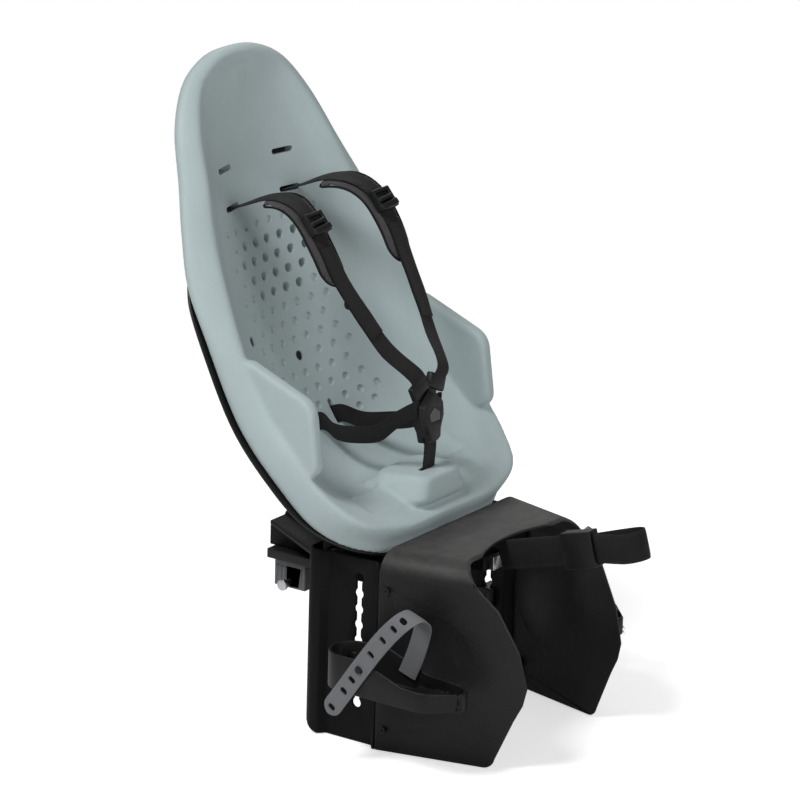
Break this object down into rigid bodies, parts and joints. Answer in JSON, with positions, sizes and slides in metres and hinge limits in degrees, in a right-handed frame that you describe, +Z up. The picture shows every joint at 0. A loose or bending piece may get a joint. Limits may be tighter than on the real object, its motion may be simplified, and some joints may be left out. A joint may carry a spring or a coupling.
{
  "type": "child bicycle seat",
  "caption": "Rear child bicycle seat with a soft one-piece bucket, buckled harness, leg guards, sliding footrests and a clamp for a rear carrier.",
  "frame": {"origin": "middle of the face that rests on the carrier's rails, 16 mm behind the clamp base's front edge", "axes": "+Z up, the child faces -Y, +X is the child's left"},
  "size_m": [0.4414, 0.6495, 0.789],
  "materials": {
    "foam": "soft moulded foam, matt",
    "shell": "moulded, fine grain",
    "body": "moulded, fine grain",
    "black_parts": "moulded, smooth",
    "webbing": "woven nylon webbing",
    "padding": "padded fabric",
    "buckle": "moulded, satin",
    "strap_rubber": "soft rubber",
    "jaw_rubber": "hard rubber",
    "steel": "zinc plated",
    "reflector": "clear red, prismatic"
  },
  "bodies": {
    "seat": {"foam_liner": "foam", "seat_shell": "shell", "liner_plugs": "black_parts", "shell_screws": "steel", "harness_anchor_bar": "steel", "carrier_body": "body", "rear_reflector": "reflector", "leg_shield": "body", "shield_screws": "steel", "shoulder_strap_left": "webbing", "shoulder_strap_right": "webbing", "shoulder_pad_left": "padding", "shoulder_pad_right": "padding", "strap_adjuster_left": "black_parts", "strap_adjuster_right": "black_parts", "hip_strap_left": "webbing", "hip_strap_right": "webbing", "buckle_body": "buckle", "buckle_tongue_left": "black_parts", "buckle_tongue_right": "black_parts", "crotch_strap": "webbing", "crotch_anchor": "steel", "clamp_base": "black_parts", "safety_strap": "webbing", "safety_keeper": "black_parts", "safety_anchor": "steel"},
    "footrest_left": {"footrest_left": "black_parts", "foot_strap_left": "strap_rubber", "strap_stud_left": "black_parts"},
    "footrest_right": {"footrest_right": "black_parts", "foot_strap_right": "strap_rubber", "strap_stud_right": "black_parts"},
    "footrest_lock_left": {"footrest_lock_left": "body"},
    "footrest_lock_right": {"footrest_lock_right": "body"},
    "buckle_button": {"buckle_button": "buckle"},
    "clamp_screw": {"clamp_screw": "steel", "clamp_knob": "black_parts"},
    "clamp_jaw_left": {"clamp_jaw_left": "jaw_rubber"},
    "clamp_jaw_right": {"clamp_jaw_right": "jaw_rubber"}
  },
  "joints": [
    {"name": "footrest_slide_left", "type": "slide", "parent": "seat", "child": "footrest_left", "axis": [0, 0, 1], "range_m": [-0.04, 0.06]},
    {"name": "footrest_slide_right", "type": "slide", "parent": "seat", "child": "footrest_right", "axis": [0, 0, 1], "range_m": [-0.04, 0.06]},
    {"name": "footrest_lock_press_left", "type": "slide", "parent": "footrest_left", "child": "footrest_lock_left", "axis": [-1, 0, 0], "range_m": [0, 0.003], "stiffness_N_per_m": 900, "springref_m": -0.001},
    {"name": "footrest_lock_press_right", "type": "slide", "parent": "footrest_right", "child": "footrest_lock_right", "axis": [1, 0, 0], "range_m": [0, 0.003], "stiffness_N_per_m": 900, "springref_m": -0.001},
    {"name": "buckle_button_press", "type": "slide", "parent": "seat", "child": "buckle_button", "axis": [0, 0.9945, -0.1045], "range_m": [0, 0.0025], "stiffness_N_per_m": 900, "springref_m": -0.001},
    {"name": "clamp_turn", "type": "hinge", "parent": "seat", "child": "clamp_screw", "pos_m": [0, 0.159, -0.028], "axis": [1, 0, 0], "range_deg": [0, 900]},
    {"name": "clamp_jaw_slide_left", "type": "slide", "parent": "seat", "child": "clamp_jaw_left", "axis": [1, 0, 0], "range_m": [0, 0.008]},
    {"name": "clamp_jaw_slide_right", "type": "slide", "parent": "seat", "child": "clamp_jaw_right", "axis": [-1, 0, 0], "range_m": [0, 0.008]}
  ],
  "couplings": [
    {"joint": "clamp_jaw_slide_left", "follows": "clamp_turn", "m_per_rad": 0.00047746},
    {"joint": "clamp_jaw_slide_right", "follows": "clamp_turn", "m_per_rad": 0.00047746}
  ]
}
